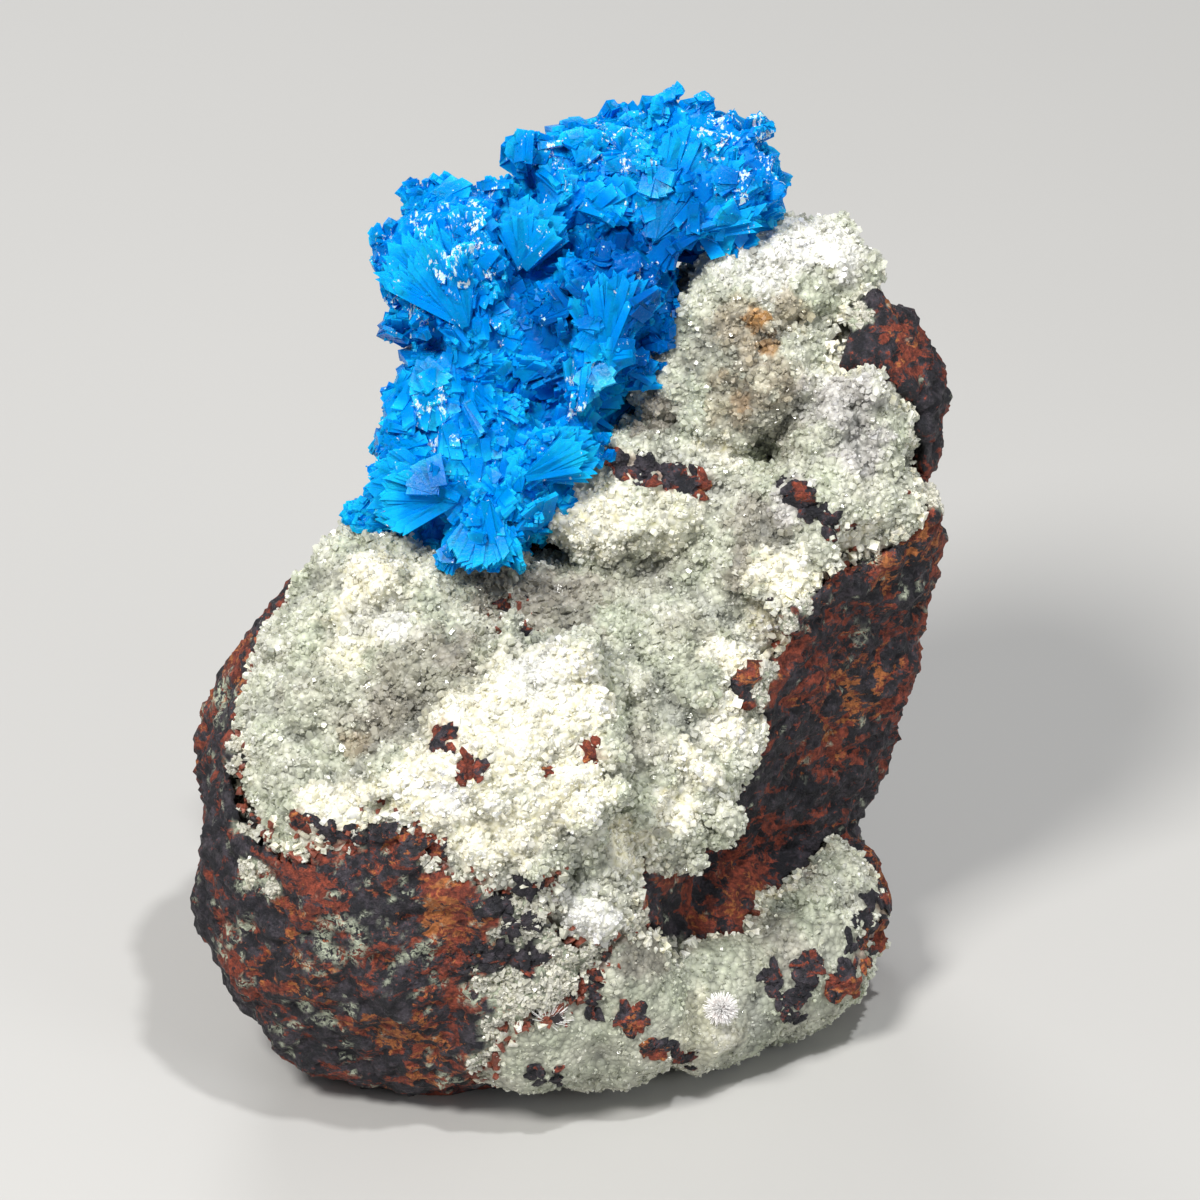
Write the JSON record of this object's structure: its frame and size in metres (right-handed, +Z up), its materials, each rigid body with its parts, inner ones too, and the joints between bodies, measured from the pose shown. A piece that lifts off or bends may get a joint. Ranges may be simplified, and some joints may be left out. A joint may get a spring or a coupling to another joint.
{
  "type": "cavansite mineral specimen",
  "caption": "Cavansite specimen: a cluster of blue bladed rosettes on a pale zeolite druse that lines a broken lump of dark basalt, with one white mordenite tuft on its foot.",
  "frame": {"origin": "middle of the bounding box's underside, on the surface the specimen rests on", "axes": "+Z up, -Y towards the side that the picture shows, +X to the right of that side"},
  "size_m": [0.0458, 0.0374, 0.0556],
  "materials": {
    "basalt": "near-black purplish basalt, rough and pitted, stained rust red, with pale zeolite specks and veins",
    "zeolite": "druse of small glassy crystals, cream to grey-green, sparkling, partly clear",
    "cavansite": "vivid azure blue, translucent, glassy blades with silver-white glints",
    "mordenite": "silky white needles with a faint pink tint"
  },
  "bodies": {
    "root": {"basalt_matrix": "basalt", "zeolite_druse": "zeolite", "cavansite_cluster": "cavansite", "mordenite_tuft": "mordenite"}
  },
  "joints": []
}
